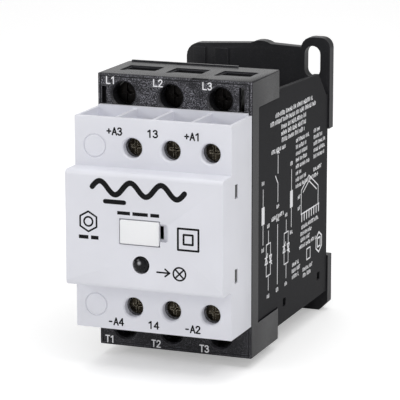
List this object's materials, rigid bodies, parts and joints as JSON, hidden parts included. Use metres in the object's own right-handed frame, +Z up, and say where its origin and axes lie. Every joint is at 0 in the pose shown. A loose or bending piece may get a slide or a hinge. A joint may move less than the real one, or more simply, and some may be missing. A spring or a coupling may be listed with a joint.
{
  "type": "solid state relay",
  "caption": "Three-phase solid state relay in a black and light grey plastic casing, with screw clamps for power and control wires, a heat sink and a rail clip.",
  "frame": {"origin": "on the rail seat, at the rail's centreline and the casing's mid width", "axes": "+X to the right seen from the front, +Y backwards into the rail or panel, +Z up"},
  "size_m": [0.045, 0.0929, 0.0822],
  "materials": {
    "casing_black": "fine-grained moulded black polyamide",
    "cover_grey": "smooth moulded light grey polycarbonate",
    "marker_white": "smooth white plastic",
    "lens_smoke": "clear smoke-tinted polycarbonate",
    "led_epoxy": "tinted diffused epoxy",
    "screw_dark": "black passivated steel",
    "zinc_steel": "zinc-plated steel",
    "spring_steel": "bright drawn spring wire",
    "tinned_copper": "tin-plated copper strip",
    "brass_clamp": "nickel-free drawn brass",
    "extruded_aluminium": "extruded, satin",
    "thermal_rubber": "filled silicone pad",
    "moulding_epoxy": "matt transfer-moulded epoxy",
    "circuit_board": "solder-masked glass epoxy",
    "relay_case": "matt moulded blue plastic",
    "connector_plastic": "matt moulded plastic",
    "varistor_coating": "dipped epoxy coat"
  },
  "bodies": {
    "casing": {"auxiliary_relay": "relay_case", "board_link": "connector_plastic", "control_13_contact_bar": "brass_clamp", "control_14_contact_bar": "brass_clamp", "control_a1_contact_bar": "brass_clamp", "control_a2_contact_bar": "brass_clamp", "control_a3_contact_bar": "brass_clamp", "control_a4_contact_bar": "brass_clamp", "control_board": "circuit_board", "front_cover": "cover_grey", "heatsink": "extruded_aluminium", "l1_busbar": "tinned_copper", "l2_t2_busbar": "tinned_copper", "l3_busbar": "tinned_copper", "led_lens": "lens_smoke", "module_screw_left": "zinc_steel", "module_screw_right": "zinc_steel", "mounting_base": "casing_black", "optocoupler_left": "moulding_epoxy", "optocoupler_right": "moulding_epoxy", "power_board": "circuit_board", "rail_clip_spring": "spring_steel", "rear_housing": "casing_black", "status_led": "led_epoxy", "t1_busbar": "tinned_copper", "t3_busbar": "tinned_copper", "terminal_housing": "casing_black", "thermal_pad": "thermal_rubber", "thyristor_module_left": "moulding_epoxy", "thyristor_module_right": "moulding_epoxy", "varistor_left": "varistor_coating", "varistor_right": "varistor_coating"},
    "control_13_cage": {"control_13_cage": "brass_clamp"},
    "control_13_screw": {"control_13_screw": "zinc_steel"},
    "control_14_cage": {"control_14_cage": "brass_clamp"},
    "control_14_screw": {"control_14_screw": "zinc_steel"},
    "control_a1_cage": {"control_a1_cage": "brass_clamp"},
    "control_a1_screw": {"control_a1_screw": "zinc_steel"},
    "control_a2_cage": {"control_a2_cage": "brass_clamp"},
    "control_a2_screw": {"control_a2_screw": "zinc_steel"},
    "control_a3_cage": {"control_a3_cage": "brass_clamp"},
    "control_a3_screw": {"control_a3_screw": "zinc_steel"},
    "control_a4_cage": {"control_a4_cage": "brass_clamp"},
    "control_a4_screw": {"control_a4_screw": "zinc_steel"},
    "l1_cage": {"l1_cage": "zinc_steel"},
    "l1_screw": {"l1_screw": "screw_dark"},
    "l2_cage": {"l2_cage": "zinc_steel"},
    "l2_screw": {"l2_screw": "screw_dark"},
    "l3_cage": {"l3_cage": "zinc_steel"},
    "l3_screw": {"l3_screw": "screw_dark"},
    "marker_plate": {"marker_plate": "marker_white"},
    "rail_clip": {"rail_clip": "casing_black"},
    "t1_cage": {"t1_cage": "zinc_steel"},
    "t1_screw": {"t1_screw": "screw_dark"},
    "t2_cage": {"t2_cage": "zinc_steel"},
    "t2_screw": {"t2_screw": "screw_dark"},
    "t3_cage": {"t3_cage": "zinc_steel"},
    "t3_screw": {"t3_screw": "screw_dark"}
  },
  "joints": [
    {"name": "l1_cage_draw", "type": "slide", "parent": "casing", "child": "l1_cage", "axis": [0, -1, 0], "range_m": [0, 0.003]},
    {"name": "l1_screw_turn", "type": "hinge", "parent": "casing", "child": "l1_screw", "pos_m": [-0.0149, -0.0626, 0.0374], "axis": [0, 1, 0], "range_deg": [0, 1800]},
    {"name": "l2_cage_draw", "type": "slide", "parent": "casing", "child": "l2_cage", "axis": [0, -1, 0], "range_m": [0, 0.003]},
    {"name": "l2_screw_turn", "type": "hinge", "parent": "casing", "child": "l2_screw", "pos_m": [-0.001, -0.0626, 0.0374], "axis": [0, 1, 0], "range_deg": [0, 1800]},
    {"name": "l3_cage_draw", "type": "slide", "parent": "casing", "child": "l3_cage", "axis": [0, -1, 0], "range_m": [0, 0.003]},
    {"name": "l3_screw_turn", "type": "hinge", "parent": "casing", "child": "l3_screw", "pos_m": [0.0133, -0.0626, 0.0374], "axis": [0, 1, 0], "range_deg": [0, 1800]},
    {"name": "t1_cage_draw", "type": "slide", "parent": "casing", "child": "t1_cage", "axis": [0, -1, 0], "range_m": [0, 0.003]},
    {"name": "t1_screw_turn", "type": "hinge", "parent": "casing", "child": "t1_screw", "pos_m": [-0.0149, -0.0626, -0.0281], "axis": [0, 1, 0], "range_deg": [0, 1800]},
    {"name": "t2_cage_draw", "type": "slide", "parent": "casing", "child": "t2_cage", "axis": [0, -1, 0], "range_m": [0, 0.003]},
    {"name": "t2_screw_turn", "type": "hinge", "parent": "casing", "child": "t2_screw", "pos_m": [-0.001, -0.0626, -0.0281], "axis": [0, 1, 0], "range_deg": [0, 1800]},
    {"name": "t3_cage_draw", "type": "slide", "parent": "casing", "child": "t3_cage", "axis": [0, -1, 0], "range_m": [0, 0.003]},
    {"name": "t3_screw_turn", "type": "hinge", "parent": "casing", "child": "t3_screw", "pos_m": [0.0133, -0.0626, -0.0281], "axis": [0, 1, 0], "range_deg": [0, 1800]},
    {"name": "control_a3_cage_draw", "type": "slide", "parent": "casing", "child": "control_a3_cage", "axis": [0, -1, 0], "range_m": [0, 0.003]},
    {"name": "control_a3_screw_turn", "type": "hinge", "parent": "casing", "child": "control_a3_screw", "pos_m": [-0.0058, -0.079, 0.0259], "axis": [0, 1, 0], "range_deg": [0, 2160]},
    {"name": "control_13_cage_draw", "type": "slide", "parent": "casing", "child": "control_13_cage", "axis": [0, -1, 0], "range_m": [0, 0.003]},
    {"name": "control_13_screw_turn", "type": "hinge", "parent": "casing", "child": "control_13_screw", "pos_m": [0.0052, -0.079, 0.0259], "axis": [0, 1, 0], "range_deg": [0, 2160]},
    {"name": "control_a1_cage_draw", "type": "slide", "parent": "casing", "child": "control_a1_cage", "axis": [0, -1, 0], "range_m": [0, 0.003]},
    {"name": "control_a1_screw_turn", "type": "hinge", "parent": "casing", "child": "control_a1_screw", "pos_m": [0.0165, -0.079, 0.0259], "axis": [0, 1, 0], "range_deg": [0, 2160]},
    {"name": "control_a4_cage_draw", "type": "slide", "parent": "casing", "child": "control_a4_cage", "axis": [0, -1, 0], "range_m": [0, 0.003]},
    {"name": "control_a4_screw_turn", "type": "hinge", "parent": "casing", "child": "control_a4_screw", "pos_m": [-0.0058, -0.079, -0.0179], "axis": [0, 1, 0], "range_deg": [0, 2160]},
    {"name": "control_14_cage_draw", "type": "slide", "parent": "casing", "child": "control_14_cage", "axis": [0, -1, 0], "range_m": [0, 0.003]},
    {"name": "control_14_screw_turn", "type": "hinge", "parent": "casing", "child": "control_14_screw", "pos_m": [0.0052, -0.079, -0.0179], "axis": [0, 1, 0], "range_deg": [0, 2160]},
    {"name": "control_a2_cage_draw", "type": "slide", "parent": "casing", "child": "control_a2_cage", "axis": [0, -1, 0], "range_m": [0, 0.003]},
    {"name": "control_a2_screw_turn", "type": "hinge", "parent": "casing", "child": "control_a2_screw", "pos_m": [0.0165, -0.079, -0.0179], "axis": [0, 1, 0], "range_deg": [0, 2160]},
    {"name": "rail_clip_slide", "type": "slide", "parent": "casing", "child": "rail_clip", "axis": [0, 0, -1], "range_m": [0, 0.0038], "stiffness_N_per_m": 300, "springref_m": -0.003, "deforming": ["rail_clip_spring"]},
    {"name": "marker_plate_pull", "type": "slide", "parent": "casing", "child": "marker_plate", "axis": [0, -1, 0], "range_m": [0, 0.006]}
  ],
  "couplings": [
    {"joint": "l1_screw_turn", "follows": "l1_cage_draw", "rad_per_m": 10472},
    {"joint": "l2_screw_turn", "follows": "l2_cage_draw", "rad_per_m": 10472},
    {"joint": "l3_screw_turn", "follows": "l3_cage_draw", "rad_per_m": 10472},
    {"joint": "t1_screw_turn", "follows": "t1_cage_draw", "rad_per_m": 10472},
    {"joint": "t2_screw_turn", "follows": "t2_cage_draw", "rad_per_m": 10472},
    {"joint": "t3_screw_turn", "follows": "t3_cage_draw", "rad_per_m": 10472},
    {"joint": "control_a3_screw_turn", "follows": "control_a3_cage_draw", "rad_per_m": 12566},
    {"joint": "control_13_screw_turn", "follows": "control_13_cage_draw", "rad_per_m": 12566},
    {"joint": "control_a1_screw_turn", "follows": "control_a1_cage_draw", "rad_per_m": 12566},
    {"joint": "control_a4_screw_turn", "follows": "control_a4_cage_draw", "rad_per_m": 12566},
    {"joint": "control_14_screw_turn", "follows": "control_14_cage_draw", "rad_per_m": 12566},
    {"joint": "control_a2_screw_turn", "follows": "control_a2_cage_draw", "rad_per_m": 12566}
  ]
}
